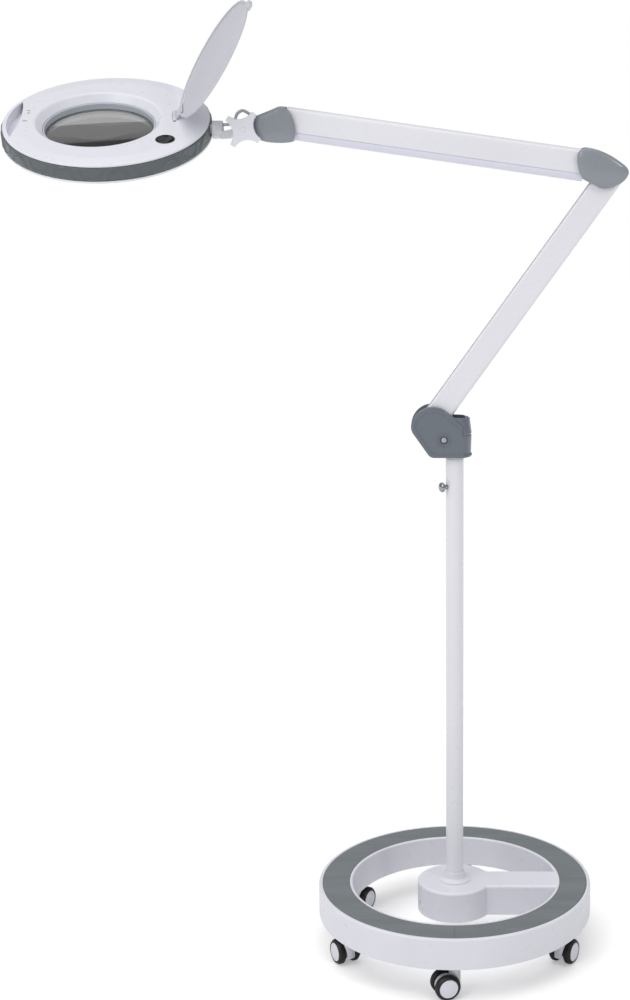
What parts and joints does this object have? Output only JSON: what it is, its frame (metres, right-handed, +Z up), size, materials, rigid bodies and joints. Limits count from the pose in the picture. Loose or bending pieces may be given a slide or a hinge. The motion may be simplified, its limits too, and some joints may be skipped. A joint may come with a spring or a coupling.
{
  "type": "magnifying floor lamp",
  "caption": "Rolling floor lamp with a ring base on casters, an upright column, two spring arms with joints, and a round illuminated magnifying head with a hinged lid.",
  "frame": {"origin": "centre of the hub's flat underside, on the column's axis", "axes": "+Z up along the column; the arms lie in the X-Z plane with the head towards -X; -Y is the front, the side that the star knob faces"},
  "size_m": [0.9297, 0.442, 1.4844],
  "materials": {
    "white_shell": "satin moulded plastic, white with a cool cast",
    "white_paint": "smooth white powder coat",
    "inlay": "grey, fine leather grain",
    "slate": "slate grey moulded plastic, satin",
    "cover_grey": "grey moulded plastic, satin",
    "rim_grey": "soft dark grey grip with low relief rings",
    "tyre": "black tread, satin",
    "black_switch": "black, glossy",
    "steel": "zinc plated",
    "chrome": "polished",
    "cast_iron": "raw casting",
    "light_plastic": "pale grey plastic",
    "cable_sheath": "pale grey flexible sheath",
    "lens_glass": "clear polished glass",
    "board": "white circuit board with lamps",
    "diffuser": "milky diffuser"
  },
  "bodies": {
    "base": {"base_shell": "white_shell", "base_weight": "cast_iron", "hub_plate": "steel", "inlay_right_rear": "inlay", "inlay_left_rear": "inlay", "inlay_left_front": "inlay", "inlay_right_front": "inlay", "column_collar": "white_shell", "column_tube": "white_paint", "column_bush": "light_plastic"},
    "thumb_screw": {"thumb_screw": "chrome"},
    "shoulder": {"shoulder_spigot": "steel", "shoulder_front_half": "slate", "shoulder_rear_half": "slate", "shoulder_pin": "steel", "shoulder_bolt": "chrome"},
    "lower_arm": {"lower_arm": "white_paint", "lower_spring": "steel"},
    "lower_tie": {"lower_tie_rod": "steel"},
    "elbow": {"elbow_bracket": "steel", "elbow_front_cover": "cover_grey", "elbow_rear_cover": "cover_grey"},
    "upper_arm": {"upper_arm": "white_paint", "upper_arm_strip": "white_shell", "upper_spring": "steel"},
    "upper_tie": {"upper_tie_rod": "steel"},
    "front_joint": {"front_bracket": "steel", "front_cover": "cover_grey", "front_pin": "steel"},
    "fork": {"head_fork": "light_plastic", "cable": "cable_sheath"},
    "star_knob": {"star_knob": "white_shell"},
    "head": {"head_top_shell": "white_shell", "grip_rim": "rim_grey", "head_bottom_shell": "white_shell", "lens": "lens_glass", "lens_ring": "cover_grey", "led_board": "board", "diffuser": "diffuser", "lid_hinge_pin": "steel"},
    "lid": {"lid": "white_shell"},
    "rocker": {"rocker_switch": "black_switch"},
    "caster_1": {"caster_1_body": "white_shell"},
    "caster_1_outer": {"caster_1_wheel_outer": "tyre"},
    "caster_1_inner": {"caster_1_wheel_inner": "tyre"},
    "caster_2": {"caster_2_body": "white_shell"},
    "caster_2_outer": {"caster_2_wheel_outer": "tyre"},
    "caster_2_inner": {"caster_2_wheel_inner": "tyre"},
    "caster_3": {"caster_3_body": "white_shell"},
    "caster_3_outer": {"caster_3_wheel_outer": "tyre"},
    "caster_3_inner": {"caster_3_wheel_inner": "tyre"},
    "caster_4": {"caster_4_body": "white_shell"},
    "caster_4_outer": {"caster_4_wheel_outer": "tyre"},
    "caster_4_inner": {"caster_4_wheel_inner": "tyre"},
    "caster_5": {"caster_5_body": "white_shell"},
    "caster_5_outer": {"caster_5_wheel_outer": "tyre"},
    "caster_5_inner": {"caster_5_wheel_inner": "tyre"},
    "caster_6": {"caster_6_body": "white_shell"},
    "caster_6_outer": {"caster_6_wheel_outer": "tyre"},
    "caster_6_inner": {"caster_6_wheel_inner": "tyre"}
  },
  "joints": [
    {"name": "arm_swivel", "type": "hinge", "parent": "base", "child": "shoulder", "pos_m": [0, 0, 0.76], "axis": [0, 0, 1], "range_deg": [-170, 170]},
    {"name": "shoulder_tilt", "type": "hinge", "parent": "shoulder", "child": "lower_arm", "pos_m": [-0.034, 0, 0.796], "axis": [0, 1, 0], "range_deg": [-48, 7]},
    {"name": "lower_tie_tilt", "type": "hinge", "parent": "shoulder", "child": "lower_tie", "pos_m": [-0.04759, 0, 0.80234], "axis": [0, 1, 0], "range_deg": [-48, 7]},
    {"name": "elbow_level", "type": "hinge", "parent": "lower_arm", "child": "elbow", "pos_m": [0.2426, 0, 1.18093], "axis": [0, 1, 0], "range_deg": [-7, 48]},
    {"name": "upper_tilt", "type": "hinge", "parent": "elbow", "child": "upper_arm", "pos_m": [0.205, 0, 1.193], "axis": [0, 1, 0], "range_deg": [-25, 45]},
    {"name": "upper_tie_tilt", "type": "hinge", "parent": "elbow", "child": "upper_tie", "pos_m": [0.19999, 0, 1.17886], "axis": [0, 1, 0], "range_deg": [-25, 45]},
    {"name": "front_level", "type": "hinge", "parent": "upper_arm", "child": "front_joint", "pos_m": [-0.25844, 0, 1.25813], "axis": [0, 1, 0], "range_deg": [-45, 25]},
    {"name": "head_tilt", "type": "hinge", "parent": "front_joint", "child": "fork", "pos_m": [-0.311, 0, 1.2455], "axis": [0, 1, 0], "range_deg": [-45, 45], "deforming": ["cable"]},
    {"name": "star_knob_turn", "type": "hinge", "parent": "fork", "child": "star_knob", "pos_m": [-0.311, -0.03, 1.2455], "axis": [0, 1, 0], "range_deg": [-30, 180]},
    {"name": "head_roll", "type": "hinge", "parent": "fork", "child": "head", "pos_m": [-0.352, 0, 1.24507], "axis": [0.9997, 0, -0.0227], "range_deg": [-115, 65]},
    {"name": "lid_hinge", "type": "hinge", "parent": "head", "child": "lid", "pos_m": [-0.41697, 0.00591, 1.26475], "axis": [-0.121, 0.8986, 0.4219], "range_deg": [-124, 4]},
    {"name": "rocker_tilt", "type": "hinge", "parent": "head", "child": "rocker", "pos_m": [-0.42096, -0.06271, 1.22731], "axis": [0.0096, 0.9063, 0.4225], "range_deg": [0, 8]},
    {"name": "thumb_screw_turn", "type": "hinge", "parent": "base", "child": "thumb_screw", "pos_m": [-0.01732, -0.01, 0.704], "axis": [-0.866, -0.5, 0], "range_deg": [-30, 330]},
    {"name": "caster_1_swivel", "type": "hinge", "parent": "base", "child": "caster_1", "pos_m": [0, -0.193, 0], "axis": [0, 0, 1], "continuous": true},
    {"name": "caster_1_outer_spin", "type": "hinge", "parent": "caster_1", "child": "caster_1_outer", "pos_m": [-0.01025, -0.21, -0.034], "axis": [0.309, -0.9511, 0], "continuous": true},
    {"name": "caster_1_inner_spin", "type": "hinge", "parent": "caster_1", "child": "caster_1_inner", "pos_m": [-0.01828, -0.18527, -0.034], "axis": [0.309, -0.9511, 0], "continuous": true},
    {"name": "caster_2_swivel", "type": "hinge", "parent": "base", "child": "caster_2", "pos_m": [0.16714, -0.0965, 0], "axis": [0, 0, 1], "continuous": true},
    {"name": "caster_2_outer_spin", "type": "hinge", "parent": "caster_2", "child": "caster_2_outer", "pos_m": [0.1859, -0.09001, -0.034], "axis": [-0.866, 0.5, 0], "continuous": true},
    {"name": "caster_2_inner_spin", "type": "hinge", "parent": "caster_2", "child": "caster_2_inner", "pos_m": [0.16339, -0.07701, -0.034], "axis": [-0.866, 0.5, 0], "continuous": true},
    {"name": "caster_3_swivel", "type": "hinge", "parent": "base", "child": "caster_3", "pos_m": [0.16714, 0.0965, 0], "axis": [0, 0, 1], "continuous": true},
    {"name": "caster_3_outer_spin", "type": "hinge", "parent": "caster_3", "child": "caster_3_outer", "pos_m": [0.1859, 0.09001, -0.034], "axis": [0.866, 0.5, 0], "continuous": true},
    {"name": "caster_3_inner_spin", "type": "hinge", "parent": "caster_3", "child": "caster_3_inner", "pos_m": [0.16339, 0.07701, -0.034], "axis": [0.866, 0.5, 0], "continuous": true},
    {"name": "caster_4_swivel", "type": "hinge", "parent": "base", "child": "caster_4", "pos_m": [0, 0.193, 0], "axis": [0, 0, 1], "continuous": true},
    {"name": "caster_4_outer_spin", "type": "hinge", "parent": "caster_4", "child": "caster_4_outer", "pos_m": [0.015, 0.206, -0.034], "axis": [0, 1, 0], "continuous": true},
    {"name": "caster_4_inner_spin", "type": "hinge", "parent": "caster_4", "child": "caster_4_inner", "pos_m": [0.015, 0.18, -0.034], "axis": [0, 1, 0], "continuous": true},
    {"name": "caster_5_swivel", "type": "hinge", "parent": "base", "child": "caster_5", "pos_m": [-0.16714, 0.0965, 0], "axis": [0, 0, 1], "continuous": true},
    {"name": "caster_5_outer_spin", "type": "hinge", "parent": "caster_5", "child": "caster_5_outer", "pos_m": [-0.1709, 0.11599, -0.034], "axis": [-0.866, 0.5, 0], "continuous": true},
    {"name": "caster_5_inner_spin", "type": "hinge", "parent": "caster_5", "child": "caster_5_inner", "pos_m": [-0.14838, 0.10299, -0.034], "axis": [-0.866, 0.5, 0], "continuous": true},
    {"name": "caster_6_swivel", "type": "hinge", "parent": "base", "child": "caster_6", "pos_m": [-0.16714, -0.0965, 0], "axis": [0, 0, 1], "continuous": true},
    {"name": "caster_6_outer_spin", "type": "hinge", "parent": "caster_6", "child": "caster_6_outer", "pos_m": [-0.1859, -0.09001, -0.034], "axis": [-0.866, -0.5, 0], "continuous": true},
    {"name": "caster_6_inner_spin", "type": "hinge", "parent": "caster_6", "child": "caster_6_inner", "pos_m": [-0.16339, -0.07701, -0.034], "axis": [-0.866, -0.5, 0], "continuous": true}
  ],
  "couplings": [
    {"joint": "lower_tie_tilt", "follows": "shoulder_tilt", "ratio": 1},
    {"joint": "elbow_level", "follows": "shoulder_tilt", "ratio": -1},
    {"joint": "upper_tie_tilt", "follows": "upper_tilt", "ratio": 1},
    {"joint": "front_level", "follows": "upper_tilt", "ratio": -1}
  ]
}
